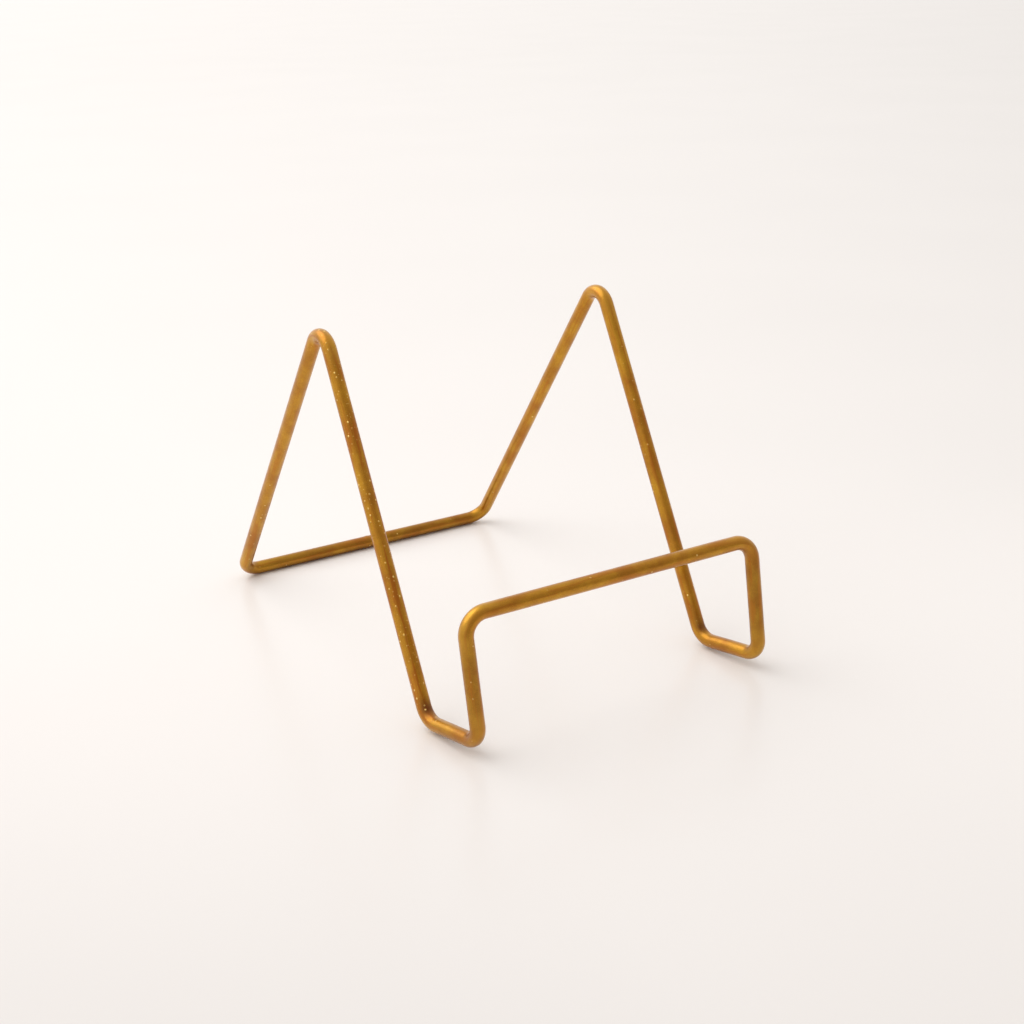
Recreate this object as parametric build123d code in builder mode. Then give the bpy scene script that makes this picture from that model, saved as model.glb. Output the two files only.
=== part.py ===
"""Photo album stand: one closed loop of round painted wire, bent ten times and butt-welded once.

Each side of the loop runs from the rear bar up a rear leg, over an apex, down a front leg to the
heel, forward along a foot to the toe, and up a post to the lip. The rear bar and the front rail
join the two sides. The album stands on the feet, leans on the front legs, and is held by the rail.

Millimetres, +Z up, front towards -Y. The origin is the bottom centre of the stand's bounding box.
Every straight run and every bend of the wire is a piece of its own, and they meet face to face.
"""

import os

from build123d import *

# The wire
wire_diameter = 4.2
side_spacing = 94.0  # left side of the loop to right side, centre to centre

# Side profile: where the centre lines of two neighbouring runs would cross,
# as a distance behind the toe and a height above the floor
rear_back = 153.5
apex_back = 79.5
apex_height = 103.0
heel_back = 23.0
toe_height = wire_diameter / 2 + 2.5  # the feet rise a little towards the toes
lip_back = 3.5
lip_height = 40.0
resting_height = wire_diameter / 2

# The loop is racked a little: how far each pair of corners stands to the right
apex_rack = 2.0
toe_rack = 3.0
lip_rack = 1.5

# Bends, measured to the centre line
tight_bend = 6.0
heel_bend = 6.5
toe_bend = 5.0

# The butt weld that closes the loop, in the middle of the rear bar
weld_length = 1.8
weld_crown = 0.2  # how far the weld stands proud of the wire

# Corner name: rack, distance behind the toe, height, bend radius
profile = {
    "rear": (0.0, rear_back, resting_height, tight_bend),
    "apex": (apex_rack, apex_back, apex_height, tight_bend),
    "heel": (0.0, heel_back, resting_height, heel_bend),
    "toe": (toe_rack, 0.0, toe_height, toe_bend),
    "lip": (lip_rack, lip_back, lip_height, tight_bend),
}
corner_names = list(profile)
run_names = ["rear_leg", "front_leg", "foot", "lip_post"]  # from each corner to the next one

os.makedirs("parts", exist_ok=True)


def side_corners(side):
    """The five corners of one side, rear to lip; side is -1 for the left and 1 for the right."""
    half = side_spacing / 2
    return [Vector(rack + side * half, back, height) for rack, back, height, _ in profile.values()]


def bend_arc(before, corner, after, radius):
    """The arc of a bend, from the run that comes from before to the run that goes to after."""
    with BuildLine() as bend:
        FilletPolyline(before, corner, after, radius=radius)
    arc = bend.edges().filter_by(GeomType.CIRCLE)[0]
    return arc if (arc @ 0 - before).length < (arc @ 1 - before).length else arc.reversed()


def write_wire(name, path):
    """One piece of the wire along a straight or curved path, written as a part of its own."""
    with BuildPart() as piece:
        with BuildLine():
            add(path)
        with BuildSketch(Plane(origin=path @ 0, z_dir=path % 0)):
            Circle(wire_diameter / 2)
        sweep()
    piece.part.label = name
    export_step(piece.part, f"parts/{name}.step")
    run = "bend" if path.geom_type == GeomType.CIRCLE else "run"
    print(f"{name}: {run} of {path.length:.1f} mm")
    return path.length


# The whole loop's centre line, only to find the middle of its bounding box
radii = [radius for _, _, _, radius in profile.values()]
with BuildLine() as whole_loop:
    FilletPolyline(
        *side_corners(-1),
        *reversed(side_corners(1)),
        radius=radii + radii[::-1],
        close=True,
    )
box_middle = whole_loop.line.bounding_box().center()
to_frame = Vector(-box_middle.X, -box_middle.Y - weld_crown / 2, 0)  # the weld is rearmost
left, right = ([corner + to_frame for corner in side_corners(side)] for side in (-1, 1))

wire_length = weld_length
for side_name, side, other in (("left", left, right), ("right", right, left)):
    # Each bend lies between the corners before and after it round the loop
    loop = [other[0], *side, other[-1]]
    arcs = [
        bend_arc(before, corner, after, radius)
        for before, corner, after, radius in zip(loop, side, loop[2:], radii)
    ]
    for corner_name, arc in zip(corner_names, arcs):
        wire_length += write_wire(f"{side_name}_{corner_name}_bend", arc)
    for run_name, arc, next_arc in zip(run_names, arcs, arcs[1:]):
        wire_length += write_wire(f"{side_name}_{run_name}", Edge.make_line(arc @ 1, next_arc @ 0))
    if side_name == "left":
        left_rear, left_lip = arcs[0], arcs[-1]

# The front rail joins the two lips
wire_length += write_wire("front_rail", Edge.make_line(left_lip @ 1, arcs[-1] @ 1))

# The rear bar is the two ends of the wire, with the weld between them
rear_middle = (left[0] + right[0]) * 0.5
half_weld = Vector(weld_length / 2, 0, 0)
rear_left_end = Edge.make_line(rear_middle - half_weld, left_rear @ 0)
rear_right_end = Edge.make_line(rear_middle + half_weld, arcs[0] @ 0)
wire_length += write_wire("rear_bar_left", rear_left_end)
wire_length += write_wire("rear_bar_right", rear_right_end)

# The weld: a low crown round the joint, dressed flat where the bar lies on the floor
weld_plane = Plane(origin=rear_middle, x_dir=(1, 0, 0), z_dir=(0, -1, 0))
with BuildPart() as weld_seam:
    with BuildSketch(weld_plane) as weld_profile:
        with BuildLine():
            Polyline(
                (-weld_length / 2, wire_diameter / 2),
                (-weld_length / 2, 0),
                (weld_length / 2, 0),
                (weld_length / 2, wire_diameter / 2),
            )
            ThreePointArc(
                (-weld_length / 2, wire_diameter / 2),
                (0, wire_diameter / 2 + weld_crown),
                (weld_length / 2, wire_diameter / 2),
            )
        make_face()
    revolve(axis=Axis(rear_middle, (1, 0, 0)))
    split(bisect_by=Plane.XY, keep=Keep.TOP)
weld_seam.part.label = "weld_seam"
export_step(weld_seam.part, "parts/weld_seam.step")

print(f"wire length {wire_length:.0f} mm")
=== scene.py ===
"""The looks of the photo album stand: one loop of bent wire in gold-bronze metallic powder coat.

Every stretch of the wire is a mesh of its own that stands for the CAD node it is named after. All of
them are cut from one tube that is swept round the whole loop, so neighbours share their end rings
and normals, and the joints between them don't show. Metres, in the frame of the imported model.
"""

import math

import bpy
import numpy as np
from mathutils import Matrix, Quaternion, Vector


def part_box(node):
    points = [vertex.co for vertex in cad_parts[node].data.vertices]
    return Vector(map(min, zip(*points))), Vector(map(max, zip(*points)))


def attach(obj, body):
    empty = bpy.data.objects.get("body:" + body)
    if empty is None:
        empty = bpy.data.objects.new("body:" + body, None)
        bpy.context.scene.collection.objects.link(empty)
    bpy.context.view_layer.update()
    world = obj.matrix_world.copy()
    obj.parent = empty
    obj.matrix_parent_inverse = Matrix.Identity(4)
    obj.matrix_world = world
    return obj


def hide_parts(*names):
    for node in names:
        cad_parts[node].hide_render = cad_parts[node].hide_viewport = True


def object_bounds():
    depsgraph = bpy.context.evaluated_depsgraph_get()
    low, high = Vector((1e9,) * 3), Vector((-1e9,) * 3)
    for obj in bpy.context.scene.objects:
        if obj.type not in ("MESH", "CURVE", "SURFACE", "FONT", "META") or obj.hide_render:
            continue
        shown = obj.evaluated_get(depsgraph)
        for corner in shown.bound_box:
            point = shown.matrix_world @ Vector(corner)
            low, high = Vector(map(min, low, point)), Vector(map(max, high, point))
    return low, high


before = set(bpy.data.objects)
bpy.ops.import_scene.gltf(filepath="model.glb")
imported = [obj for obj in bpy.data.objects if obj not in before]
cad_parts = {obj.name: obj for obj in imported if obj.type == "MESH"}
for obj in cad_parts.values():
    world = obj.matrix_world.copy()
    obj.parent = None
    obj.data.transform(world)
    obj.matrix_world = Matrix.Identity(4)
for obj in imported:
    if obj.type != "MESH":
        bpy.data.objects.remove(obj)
cad_low, cad_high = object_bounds()

MM = 0.001

# The wire's stretches in order round the loop, from the weld to the left and back to the weld
STRAIGHT_RUNS = [
    "rear_bar_left", "left_rear_leg", "left_front_leg", "left_foot", "left_lip_post", "front_rail",
    "right_lip_post", "right_foot", "right_front_leg", "right_rear_leg", "rear_bar_right",
]
BENDS = [
    "left_rear_bend", "left_apex_bend", "left_heel_bend", "left_toe_bend", "left_lip_bend",
    "right_lip_bend", "right_toe_bend", "right_heel_bend", "right_apex_bend", "right_rear_bend",
]
WELD = "weld_seam"

# How finely the tube is cut
SECTION_POINTS = 48
RUN_STEP = 1.2 * MM
BEND_STEP = 0.3 * MM
WELD_STEP = 0.12 * MM

# What bending does to the round section
BEND_OVAL = 0.022  # the section narrows by this share in the plane of a bend, and widens across it
OVAL_FADE = 7.0 * MM  # how far that fades out past the end of a bend

# The weld's bead and the ripples in it
WELD_CROWN = 0.10 * MM
WELD_RIPPLE = 0.015 * MM
RIPPLES_ROUND = [(3, 0.6, 1.0), (7, 1.9, 0.6), (11, 0.0, 0.4)]  # waves, their phase, their share
RIPPLES_ALONG = 2.4  # waves along the bead

# Paint pooling inside the bends, with painted shade in their creases, from 0 to 1; at a heel it lies
# where the bend meets the front leg
POOL_AND_SHADE_DEPTH = 0.25
HEEL_POOL_AND_SHADE_DEPTH = 1.0
HEEL_POOL_AND_SHADE_REACH = 5.0 * MM
HEEL_POOL_AND_SHADE_SHIFT = 1.6 * MM  # from the end of the leg into the bend
POOL_AND_SHADE_STARTS = 0.1  # how squarely the wire faces the bend's centre where a pool starts, from -1 to 1
POOL_AND_SHADE_RISE = 0.8  # how much more squarely where it is full

# Where the paint took up specks of dust and coarse flake: the share of them on each stretch
SPECKLED = {
    "left_front_leg": 1.0, "left_apex_bend": 0.7, "left_heel_bend": 0.6, "right_front_leg": 0.35,
}
SPECKLED_ELSEWHERE = 0.06

# Painted light and shade on each stretch: a painted highlight over the apexes, painted shade on posts,
# rear bar and feet
PAINTED_LIGHT_AND_SHADE = {
    "left_apex_bend": 1.10, "right_apex_bend": 1.10, "left_lip_post": 0.80, "right_lip_post": 0.76,
    "rear_bar_left": 0.80, "rear_bar_right": 0.80, "left_foot": 0.88, "right_foot": 0.94,
}
PAINTED_LIGHT_AND_SHADE_ELSEWHERE = 1.0
BLEND = 16.0 * MM  # how far neighbouring stretches run into each other
STREAK_LENGTH = 13.0  # how many times longer than wide the streaks in the paint are


# ---------------------------------------------------------------- the loop's centre line

def end_centres(node):
    """The centres of a straight run's two end faces, read from its CAD mesh."""
    points = np.array([v.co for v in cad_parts[node].data.vertices], float)
    points = np.unique(points.round(7), axis=0)
    middle = points.mean(axis=0)
    axis = np.linalg.svd(points - middle, full_matrices=False)[2][0]
    along = (points - middle) @ axis
    ends = points[along < 0], points[along > 0]
    return [(end.min(axis=0) + end.max(axis=0)) / 2 for end in ends]


def ordered_runs():
    """(start, end) of each straight run, in order round the loop, as arrays."""
    here = np.mean([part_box(WELD)[0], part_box(WELD)[1]], axis=0)
    runs = []
    for node in STRAIGHT_RUNS:
        start, end = sorted(end_centres(node), key=lambda point: np.linalg.norm(point - here))
        runs.append((start, end))
        here = end
    return runs


def unit(vector):
    return vector / np.linalg.norm(vector)


class Loop:
    """The centre line as rings, each with its place, its tangent and one direction across the wire.

    In a bend, a ring's bend is 1 and its inward points to the bend's centre. Elsewhere both are 0.
    """

    def __init__(self):
        self.places = []
        self.tangents = []
        self.normals = []
        self.inward = []
        self.bend = []
        self.spans = {}  # node: (first ring, last ring)

    def add(self, place, tangent, normal, inward=None):
        self.places.append(place)
        self.tangents.append(tangent)
        self.normals.append(normal)
        self.inward.append(np.zeros(3) if inward is None else inward)
        self.bend.append(0.0 if inward is None else 1.0)

    def straight(self, node, start, end, normal, step):
        """A straight run, which starts on the last ring so far if there is one."""
        first = max(len(self.places) - 1, 0)
        count = max(4, math.ceil(np.linalg.norm(end - start) / step))
        for i in range(1 if self.places else 0, count + 1):
            self.add(start + (end - start) * i / count, unit(end - start), normal)
        self.spans[node] = (first, len(self.places) - 1)

    def curved(self, node, start, leaving, end, arriving, normal, step):
        """An arc from start to end, leaving and arriving along two directions; returns the normal."""
        first = len(self.places) - 1
        turn = math.acos(np.clip(leaving @ arriving, -1, 1))
        radius = np.linalg.norm(end - start) / (2 * math.sin(turn / 2))
        towards = unit(arriving - leaving * (leaving @ arriving))
        centre = start + towards * radius
        axis = Vector(np.cross(leaving, arriving)).normalized()
        count = max(12, math.ceil(radius * turn / step))
        self.inward[-1] = towards
        self.bend[-1] = 1.0
        for i in range(1, count + 1):
            angle = turn * i / count
            inward = towards * math.cos(angle) - leaving * math.sin(angle)
            tangent = leaving * math.cos(angle) + towards * math.sin(angle)
            turned = np.array(Quaternion(axis, angle) @ Vector(normal))
            self.add(centre - inward * radius, tangent, turned, inward)
        self.spans[node] = (first, len(self.places) - 1)
        return np.array(Quaternion(axis, turn) @ Vector(normal))


def swept_loop():
    """The whole loop, from one end of the weld round to the same place again."""
    runs = ordered_runs()
    loop = Loop()
    normal = np.array([0.0, 0.0, 1.0])
    loop.straight(WELD, runs[-1][1], runs[0][0], normal, WELD_STEP)
    for i, (node, (start, end)) in enumerate(zip(STRAIGHT_RUNS, runs)):
        loop.straight(node, start, end, normal, RUN_STEP)
        if i < len(BENDS):
            after_start, after_end = runs[i + 1]
            leaving = unit(end - start)
            arriving = unit(after_end - after_start)
            normal = loop.curved(BENDS[i], end, leaving, after_start, arriving, normal, BEND_STEP)
    return loop


# ---------------------------------------------------------------- the tube round it

def smooth(t):
    t = np.clip(t, 0, 1)
    return t * t * (3 - 2 * t)


def spread_bends(loop, lengths):
    """Carries each bend's strength and inward direction out over the straight wire beside it."""
    bend = np.array(loop.bend)
    inward = np.array(loop.inward)
    for node in BENDS:
        first, last = loop.spans[node]
        for edge, side in ((first, -1), (last, 1)):
            i = edge + side
            while 0 <= i < len(bend) and abs(lengths[i] - lengths[edge]) < OVAL_FADE:
                bend[i] = 1 - smooth(abs(lengths[i] - lengths[edge]) / OVAL_FADE)
                inward[i] = inward[edge]
                i += side
    return bend, inward


def weld_bead(loop, lengths, angles):
    """How far the weld stands proud: a crown with the uneven surface that dressing leaves."""
    first, last = loop.spans[WELD]
    middle = (lengths[first] + lengths[last]) / 2
    half = (lengths[last] - lengths[first]) / 2
    crown = np.clip(1 - ((lengths - middle) / half) ** 2, 0, 1)
    round_it = sum(share * np.sin(count * angles + phase) for count, phase, share in RIPPLES_ROUND)
    along_it = 0.5 + 0.5 * np.cos((lengths - middle) / half * RIPPLES_ALONG * math.pi)
    proud = WELD_CROWN * crown[:, None] * np.ones(SECTION_POINTS)
    proud += WELD_RIPPLE * crown[:, None] * along_it[:, None] * round_it[None, :]
    return proud


def blended(loop, lengths, shares, elsewhere):
    """A value for each ring from one for each stretch, blended where the stretches meet."""
    values = np.full(len(lengths), elsewhere)
    for node, share in shares.items():
        first, last = loop.spans[node]
        rise = smooth((lengths - lengths[first]) / BLEND + 0.5)
        fall = smooth((lengths - lengths[last]) / BLEND + 0.5)
        values += (share - elsewhere) * (rise - fall)
    return values


def pooled_paint_and_shade(loop, lengths, facing):
    """How thick the paint pools inside each bend, with painted shade in the crease, most of all inside a
    heel.
    """
    pooled_and_shaded = np.zeros_like(facing)
    for node in BENDS:
        first, last = loop.spans[node]
        start, end = lengths[first], lengths[last]
        middle = (start + end) / 2
        reach = 0.5 * (end - start)
        depth = POOL_AND_SHADE_DEPTH
        if "heel" in node:
            # The loop comes down the left front leg and goes up the right one
            middle = start + HEEL_POOL_AND_SHADE_SHIFT if node.startswith("left") else end - HEEL_POOL_AND_SHADE_SHIFT
            reach = HEEL_POOL_AND_SHADE_REACH
            depth = HEEL_POOL_AND_SHADE_DEPTH
        window = 1 - smooth(abs(lengths - middle) / reach)
        pooled_and_shaded += depth * window[:, None] * smooth((facing - POOL_AND_SHADE_STARTS) / POOL_AND_SHADE_RISE)
    return pooled_and_shaded


def straightened_wire(lengths, angles, wire_radius):
    """Places on the wire as if it were straight, drawn together along it so that noise makes streaks."""
    places = np.empty((len(lengths), len(angles), 3))
    places[:, :, 0] = wire_radius * np.cos(angles)
    places[:, :, 1] = wire_radius * np.sin(angles)
    places[:, :, 2] = lengths[:, None] / STREAK_LENGTH
    return places


def surface_normals(points):
    """A normal for each ring point of the whole tube."""
    along = np.gradient(points, axis=0)
    around = np.roll(points, -1, axis=1) - np.roll(points, 1, axis=1)
    normals = np.cross(around, along)
    return normals / np.linalg.norm(normals, axis=2, keepdims=True)


def swept_tube(loop, wire_radius):
    """Ring points, their normals, their places on the straightened wire, and what the paint does."""
    places, tangents, across = (np.array(a) for a in (loop.places, loop.tangents, loop.normals))
    beside = np.cross(tangents, across)
    lengths = np.concatenate([[0], np.cumsum(np.linalg.norm(np.diff(places, axis=0), axis=1))])
    angles = np.arange(SECTION_POINTS) * 2 * math.pi / SECTION_POINTS
    cos = np.cos(angles)[None, :, None]
    sin = np.sin(angles)[None, :, None]
    outward = across[:, None] * cos + beside[:, None] * sin

    bend, inward = spread_bends(loop, lengths)
    facing = np.einsum("rsk,rk->rs", outward, inward)  # 1 where the surface faces the bend's centre
    radius = wire_radius * (1 - BEND_OVAL * bend[:, None] * (2 * facing**2 - 1))
    radius += weld_bead(loop, lengths, angles)
    points = places[:, None] + outward * radius[:, :, None]
    points[:, :, 2] = np.maximum(points[:, :, 2], cad_low.z)

    every_point = np.ones_like(facing)
    shares = {
        # paint pooling in the bends, with painted shade in their creases
        "pooled_and_shaded": np.clip(pooled_paint_and_shade(loop, lengths, facing), 0, 1),
        "stretched": np.clip(-facing * bend[:, None], 0, 1),
        "speckled": every_point * blended(loop, lengths, SPECKLED, SPECKLED_ELSEWHERE)[:, None],
        # painted highlight and painted shade for each stretch, as a brightness factor
        "shade": every_point * blended(loop, lengths, PAINTED_LIGHT_AND_SHADE, PAINTED_LIGHT_AND_SHADE_ELSEWHERE)[:, None],
    }
    return points, surface_normals(points), straightened_wire(lengths, angles, wire_radius), shares


def tube_piece(name, span, tube, tangents, material):
    """One stretch of the tube as a closed mesh, with the tube's own normals and paint attributes."""
    points, normals, straightened, shares = tube
    first, last = span
    rings = last - first + 1
    n = SECTION_POINTS
    ring_normals = normals[first:last + 1].reshape(-1, 3)
    faces = []
    corner_normals = []
    for r in range(rings - 1):
        for s in range(n):
            t = (s + 1) % n
            quad = (r * n + s, r * n + t, (r + 1) * n + t, (r + 1) * n + s)
            faces.append(quad)
            corner_normals.extend(ring_normals[list(quad)])

    # The two ends are fans round a point in the middle of the end ring
    for ring, centre, way in ((0, rings * n, -1), (rings - 1, rings * n + 1, 1)):
        end_normal = way * tangents[first + ring]
        for s in range(n):
            pair = (ring * n + s, ring * n + (s + 1) % n)
            faces.append((*(pair[::-1] if way < 0 else pair), centre))
            corner_normals.extend([end_normal] * 3)

    ring_points = points[first:last + 1].reshape(-1, 3)
    end_middles = np.array([points[first].mean(axis=0), points[last].mean(axis=0)])
    mesh = bpy.data.meshes.new(name)
    mesh.from_pydata(np.vstack([ring_points, end_middles]).tolist(), [], faces)
    mesh.polygons.foreach_set("use_smooth", np.ones(len(faces), bool))
    mesh.normals_split_custom_set([tuple(v) for v in corner_normals])

    places = straightened[first:last + 1].reshape(-1, 3)
    places = np.vstack([places, places[[0, -1]]])
    attribute = mesh.attributes.new("straightened", "FLOAT_VECTOR", "POINT")
    attribute.data.foreach_set("vector", places.reshape(-1).astype(np.float32))
    for label, values in shares.items():
        values = values[first:last + 1].reshape(-1)
        attribute = mesh.attributes.new(label, "FLOAT", "POINT")
        attribute.data.foreach_set("value", np.append(values, values[[0, -1]]).astype(np.float32))
    mesh.materials.append(material)
    piece = bpy.data.objects.new(name, mesh)
    bpy.context.scene.collection.objects.link(piece)
    return piece


# ---------------------------------------------------------------- words for node trees

class Nodes:
    """Short words for building a node tree."""

    def __init__(self, tree):
        self.tree = tree

    def add(self, kind, **values):
        node = self.tree.nodes.new(kind)
        for key, value in values.items():
            setattr(node, key, value)
        return node

    def link(self, source, target):
        self.tree.links.new(source, target)

    def feed(self, value, socket):
        """Gives a socket a number, a colour or another node's output."""
        if isinstance(value, (int, float)):
            socket.default_value = value
        elif isinstance(value, tuple):
            socket.default_value = (*value, 1.0)
        else:
            self.link(value, socket)

    def texture_place(self, output):
        return self.add("ShaderNodeTexCoord").outputs[output]

    def noise(self, scale, detail=2.0, roughness=0.5, place=None):
        node = self.add("ShaderNodeTexNoise")
        node.inputs["Scale"].default_value = scale
        node.inputs["Detail"].default_value = detail
        node.inputs["Roughness"].default_value = roughness
        self.link(place or self.texture_place("Object"), node.inputs["Vector"])
        return node.outputs["Fac"]

    def cells(self, scale):
        """A pattern of cells: the distance from a cell's middle, and two random values for each."""
        node = self.add("ShaderNodeTexVoronoi", feature="F1")
        node.inputs["Scale"].default_value = scale
        self.link(self.texture_place("Object"), node.inputs["Vector"])
        split = self.add("ShaderNodeSeparateColor")
        self.link(node.outputs["Color"], split.inputs[0])
        return node.outputs["Distance"], split.outputs[0], split.outputs[1]

    def map_range(self, value, span, to=(0.0, 1.0), interpolation="LINEAR"):
        node = self.add("ShaderNodeMapRange", interpolation_type=interpolation)
        for key, number in zip(("From Min", "From Max", "To Min", "To Max"), (*span, *to)):
            node.inputs[key].default_value = number
        self.link(value, node.inputs["Value"])
        return node.outputs["Result"]

    def math(self, operation, *values, clamp=False):
        node = self.add("ShaderNodeMath", operation=operation, use_clamp=clamp)
        for value, socket in zip(values, node.inputs):
            self.feed(value, socket)
        return node.outputs[0]

    def towards(self, place, side):
        """How far a place or a direction reaches towards one side."""
        node = self.add("ShaderNodeVectorMath", operation="DOT_PRODUCT")
        self.link(place, node.inputs[0])
        node.inputs[1].default_value = side
        return node.outputs["Value"]

    def mix(self, factor, a, b, blend="MIX"):
        node = self.add("ShaderNodeMix", data_type="RGBA", blend_type=blend)
        for value, socket in ((factor, node.inputs[0]), (a, node.inputs[6]), (b, node.inputs[7])):
            self.feed(value, socket)
        return node.outputs[2]

    def attribute(self, name, output="Fac"):
        return self.add("ShaderNodeAttribute", attribute_name=name).outputs[output]

    def bump(self, height, relief, below=None):
        """Relief is a bump's strength and its height in metres."""
        strength, distance = relief
        node = self.add("ShaderNodeBump")
        node.inputs["Strength"].default_value = strength
        node.inputs["Distance"].default_value = distance
        self.link(height, node.inputs["Height"])
        if below is not None:
            self.link(below, node.inputs["Normal"])
        return node.outputs["Normal"]


class Material(Nodes):
    """A material's node tree, with its shader."""

    def __init__(self, name):
        self.material = bpy.data.materials.new(name)
        self.material.use_nodes = True
        super().__init__(self.material.node_tree)
        self.shader = self.tree.nodes["Principled BSDF"]


# ---------------------------------------------------------------- the paint

AMBER = (0.40, 0.158, 0.004)
GOLD = (0.54, 0.266, 0.011)
# Dark colour of paint pooling in the bends, with painted shade in their creases
POOLED_AND_SHADED = (0.15, 0.040, 0.003)
THIN = (0.62, 0.34, 0.040)
RUN_AMBER = (0.42, 0.120, 0.002)
FLAKE_GOLD = (1.0, 0.66, 0.18)
SPECK_GOLD = (1.0, 0.72, 0.22)

# How many times each pattern repeats in a metre
MOTTLE_SCALE = 110.0
GRAIN_SCALE = 5200.0
STREAK_SCALE = 750.0
FLAKE_SCALE = 2600.0
CLUSTER_SCALE = 90.0
SPECK_SCALE = 720.0
ROUGHNESS_SCALE = 420.0
WAVE_SCALE = 300.0
PEEL_SCALE = 1100.0
FINE_SCALE = 4200.0

# Spans of noise values, and what they are mapped to
MOST_NOISE = (0.3, 0.7)
MOTTLE_NOISE = (0.36, 0.64)
STREAK_NOISE = (0.51, 0.62)
CLUSTER_NOISE = (0.40, 0.60)
GRAIN_BRIGHTNESS = (0.84, 1.14)
ROUGHNESS = (0.28, 0.39)
FLAKE_ABOVE = (0.995, 0.950)  # a cell is a flake above this random value, outside and in a cluster

# How strongly each thing shows over the paint below it
STREAK_DEPTH = (0.40, 0.85)  # on clean and on speckled wire
POOL_AND_SHADE_COVER = 0.85
THIN_COVER = 0.35
FLAKE_COVER = 0.7
FLAKE_POLISH = 0.10  # how much less rough a flake is
GLINT = (0.15, 0.95)  # of the dullest and the brightest speck

# Specks and flakes: distance from the middle of a cell at their edge and at their core
FLAKE_EDGE = (0.42, 0.26)
SPECK_EDGE = (0.25, 0.13)
SPECK_ABOVE = 0.97  # a cell is a speck above this random value
SPECK_CHANCE = 0.55  # how much fully speckled wire adds to that value

# Bump strength and height of each layer of relief, from the lowest to the top
WAVE_RELIEF = (0.35, 0.14 * MM)
RUN_RELIEF = (0.60, 0.16 * MM)
PEEL_RELIEF = (0.30, 0.06 * MM)
SPECK_RELIEF = (0.80, 0.12 * MM)
FINE_RELIEF = (0.22, 0.02 * MM)
FLAKE_RELIEF = (0.10, 0.02 * MM)


def mottled(m):
    """Amber and gold in patches, with the grain of the metal flake and each stretch's painted light and
    shade.
    """
    mottle = m.map_range(m.noise(MOTTLE_SCALE, detail=3.0, roughness=0.6), MOTTLE_NOISE)
    grain = m.map_range(m.noise(GRAIN_SCALE, detail=1.0), MOST_NOISE, GRAIN_BRIGHTNESS)
    # Each stretch's painted highlight or painted shade scales the paint's brightness
    brightness = m.math("MULTIPLY", grain, m.attribute("shade"))
    grey = m.add("ShaderNodeCombineColor")
    for channel in grey.inputs:
        m.link(brightness, channel)
    return m.mix(1.0, m.mix(mottle, AMBER, GOLD), grey.outputs[0], blend="MULTIPLY")


def gold_paint():
    """Gold-bronze metallic powder coat: flake in a clear binder, mottled, pooling inside the bends with
    painted shade in their creases.
    """
    m = Material("gold_paint")
    speckled = m.attribute("speckled")
    tone = mottled(m)

    # The paint has run a little along the wire, most of all where it is speckled
    straightened = m.attribute("straightened", "Vector")
    streak_noise = m.noise(STREAK_SCALE, roughness=0.6, place=straightened)
    streak_depth = m.map_range(speckled, (0.0, 1.0), STREAK_DEPTH)
    streak = m.math("MULTIPLY", m.map_range(streak_noise, STREAK_NOISE), streak_depth)
    tone = m.mix(streak, tone, RUN_AMBER)

    # Pooling paint and painted shade darken the inside of the bends
    tone = m.mix(m.math("MULTIPLY", m.attribute("pooled_and_shaded"), POOL_AND_SHADE_COVER), tone, POOLED_AND_SHADED)
    tone = m.mix(m.math("MULTIPLY", m.attribute("stretched"), THIN_COVER), tone, THIN)

    # Here and there a few larger flakes lie together and catch the light
    distance, chance, flake_tilt = m.cells(FLAKE_SCALE)
    cluster = m.map_range(m.noise(CLUSTER_SCALE, detail=1.0), CLUSTER_NOISE, FLAKE_ABOVE)
    flake = m.math("GREATER_THAN", chance, cluster)
    flake = m.math("MULTIPLY", flake, m.map_range(distance, FLAKE_EDGE))
    flake = m.math("MULTIPLY", flake, speckled)
    tone = m.mix(m.math("MULTIPLY", flake, FLAKE_COVER), tone, FLAKE_GOLD)

    # Specks of dust stand up through the paint
    distance, chance, shine = m.cells(SPECK_SCALE)
    chance = m.math("ADD", chance, m.math("MULTIPLY", speckled, SPECK_CHANCE))
    speck = m.math("GREATER_THAN", chance, SPECK_ABOVE)
    speck = m.math("MULTIPLY", speck, m.map_range(distance, SPECK_EDGE))
    glint = m.math("MULTIPLY", speck, m.map_range(shine, (0.0, 1.0), GLINT))
    tone = m.mix(glint, tone, SPECK_GOLD)
    m.link(tone, m.shader.inputs["Base Color"])

    rough = m.map_range(m.noise(ROUGHNESS_SCALE), MOST_NOISE, ROUGHNESS)
    rough = m.math("SUBTRACT", rough, m.math("MULTIPLY", flake, FLAKE_POLISH))
    m.link(rough, m.shader.inputs["Roughness"])

    # The clear coat follows the broad relief, and the flake under it the fine relief too
    broad = m.bump(m.noise(WAVE_SCALE), WAVE_RELIEF)
    broad = m.bump(streak_noise, RUN_RELIEF, below=broad)
    broad = m.bump(m.noise(PEEL_SCALE, roughness=0.55), PEEL_RELIEF, below=broad)
    broad = m.bump(speck, SPECK_RELIEF, below=broad)
    fine = m.bump(m.noise(FINE_SCALE, detail=1.0), FINE_RELIEF, below=broad)
    fine = m.bump(flake_tilt, FLAKE_RELIEF, below=fine)
    m.link(fine, m.shader.inputs["Normal"])
    m.link(broad, m.shader.inputs["Coat Normal"])
    m.shader.inputs["Metallic"].default_value = 0.95
    m.shader.inputs["Coat Weight"].default_value = 0.42
    m.shader.inputs["Coat Roughness"].default_value = 0.20
    return m.material


# ---------------------------------------------------------------- the stand

wire_low, wire_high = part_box("front_rail")
loop = swept_loop()
tube = swept_tube(loop, (wire_high.z - wire_low.z) / 2)
paint = gold_paint()
for node, span in loop.spans.items():
    piece = tube_piece(node + "_painted", span, tube, loop.tangents, paint)
    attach(piece, "root")
    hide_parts(node)


# ---------------------------------------------------------------- the floor

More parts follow.
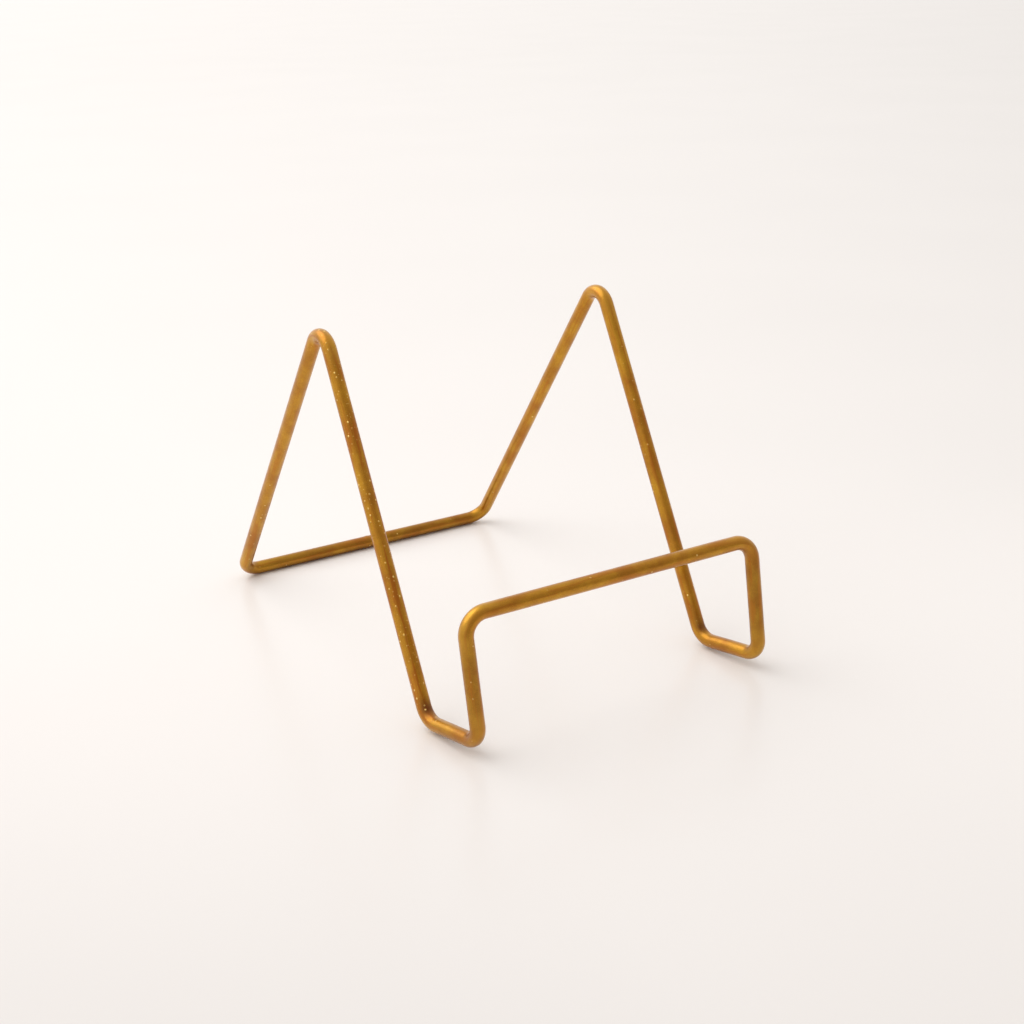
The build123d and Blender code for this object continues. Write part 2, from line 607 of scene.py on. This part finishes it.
FLOOR_SIZE = 30.0
FLOOR_COLOUR = (0.903, 0.889, 0.888)
BLACK = (0.0, 0.0, 0.0)

# Painted shade: the floor dims to the right by this much for each unit of x / (|y| + level-out)
FLOOR_DIM_RIGHT = 0.23
FLOOR_LEVEL_OUT = 0.5
FLOOR_DIM_LEAST = -0.02  # the lowest that this dimming falls to on the left

# And painted shade towards the near side, over a span of distances from the stand
FLOOR_NEAR_SIDE = (-0.515, -0.857, 0.0)
FLOOR_DIM_SPAN = (-0.06, 0.55)
FLOOR_DIM_FRONT = 0.40

FLOOR_CLOUD_SCALE = 6.0
FLOOR_CLOUDS = (0.0, 0.012)


def pale_floor():
    """A pale, faintly glossy table top, with painted shade making it a little dimmer towards the right
    and the near edge.
    """
    m = Material("pale_floor")
    place = m.texture_place("Object")
    split = m.add("ShaderNodeSeparateXYZ")
    m.link(place, split.inputs[0])
    distance = m.math("ADD", m.math("ABSOLUTE", split.outputs["Y"]), FLOOR_LEVEL_OUT)
    right = m.math("MULTIPLY", m.math("DIVIDE", split.outputs["X"], distance), FLOOR_DIM_RIGHT)
    right = m.math("MAXIMUM", right, FLOOR_DIM_LEAST)
    near = m.towards(place, FLOOR_NEAR_SIDE)
    near = m.map_range(near, FLOOR_DIM_SPAN, interpolation="SMOOTHSTEP")
    # Painted shade on the floor, with faint random clouds added below
    dimming = m.math("ADD", right, m.math("MULTIPLY", near, FLOOR_DIM_FRONT))
    clouds = m.map_range(m.noise(FLOOR_CLOUD_SCALE, detail=1.0), MOST_NOISE, FLOOR_CLOUDS)
    dimming = m.math("ADD", dimming, clouds)
    m.link(m.mix(dimming, FLOOR_COLOUR, BLACK), m.shader.inputs["Base Color"])
    m.shader.inputs["Roughness"].default_value = 0.27
    m.shader.inputs["Specular IOR Level"].default_value = 0.30
    return m.material


bpy.ops.mesh.primitive_plane_add(size=FLOOR_SIZE, location=(0, 0, cad_low.z))
floor = bpy.context.object
floor.name = "floor"
floor.data.materials.append(pale_floor())


# ---------------------------------------------------------------- the light

# The room's brightness: a level, a slope across it, and a bright window on one side
ROOM_LEVEL = 0.79
ROOM_SLOPE = (-0.02, 0.33, 0.06)
WINDOW_SIDE = (-0.93, -0.27, 0.25)
WINDOW_TIGHTNESS = 4.0
WINDOW_STRENGTH = 0.25

# Its tint, from nothing up to the brightness at which it is whitest
DIM_COLOUR = (1.0, 0.82, 0.62)
BRIGHT_COLOUR = (1.0, 0.966, 0.937)
WHITE_ABOVE = 0.9

# The key light comes from behind the stand on the left
KEY_AZIMUTH = -135
KEY_ELEVATION = 52
KEY_WIDTH = 60  # how wide it looks from the stand, in degrees like the two above
KEY_STRENGTH = 1.10
KEY_COLOUR = (1.0, 0.975, 0.94)


def direction(azimuth, elevation):
    """A unit vector from the stand: azimuth 0 is the front, 90 the right, in degrees."""
    a, e = math.radians(azimuth), math.radians(elevation)
    return Vector((math.sin(a) * math.cos(e), -math.cos(a) * math.cos(e), math.sin(e)))


def key_light():
    """A round light far away, wide enough to soften the shadows."""
    light = bpy.data.lights.new("key", "SUN")
    light.angle = math.radians(KEY_WIDTH)
    light.energy = KEY_STRENGTH
    light.color = KEY_COLOUR
    lamp = bpy.data.objects.new("key", light)
    lamp.rotation_mode = "QUATERNION"
    lamp.rotation_quaternion = direction(KEY_AZIMUTH, KEY_ELEVATION).to_track_quat("Z", "Y")
    bpy.context.scene.collection.objects.link(lamp)


def studio_world():
    """A white room, brighter behind the stand and at the window, and dimmer and warmer in front."""
    world = bpy.data.worlds.new("studio")
    world.use_nodes = True
    room = Nodes(world.node_tree)
    sight = room.texture_place("Generated")
    slope = room.math("ADD", room.towards(sight, ROOM_SLOPE), ROOM_LEVEL)
    facing_window = room.math("MAXIMUM", room.towards(sight, WINDOW_SIDE), 0.0)
    window = room.math("POWER", facing_window, WINDOW_TIGHTNESS)
    strength = room.math("ADD", slope, room.math("MULTIPLY", window, WINDOW_STRENGTH))
    whiteness = room.math("DIVIDE", strength, WHITE_ABOVE, clamp=True)
    background = room.tree.nodes["Background"]
    room.link(strength, background.inputs["Strength"])
    room.link(room.mix(whiteness, DIM_COLOUR, BRIGHT_COLOUR), background.inputs["Color"])
    bpy.context.scene.world = world


studio_world()
key_light()


# ---------------------------------------------------------------- the camera

# It stands to the front left of the stand and looks a little down on it
CAMERA_AZIMUTH = -31.06
CAMERA_ELEVATION = 20.29
CAMERA_ROLL = -1.51
CAMERA_DISTANCE = 0.4761
CAMERA_LENS = 54.97
CAMERA_SENSOR = 36.0
LOOK_OFFSET = Vector((0.00690, -0.00956, -0.01252))  # from the box's middle to what is in the centre

camera_data = bpy.data.cameras.new("camera")
camera_data.sensor_width = CAMERA_SENSOR
camera_data.lens = CAMERA_LENS
camera_data.clip_start = 0.01
camera = bpy.data.objects.new("camera", camera_data)
bpy.context.scene.collection.objects.link(camera)
back = direction(CAMERA_AZIMUTH, CAMERA_ELEVATION)
camera.location = (cad_low + cad_high) / 2 + LOOK_OFFSET + back * CAMERA_DISTANCE
camera.rotation_mode = "QUATERNION"
roll = Quaternion(back, math.radians(CAMERA_ROLL))
camera.rotation_quaternion = roll @ (-back).to_track_quat("-Z", "Y")
bpy.context.scene.camera = camera
bpy.context.scene.view_settings.view_transform = "Standard"
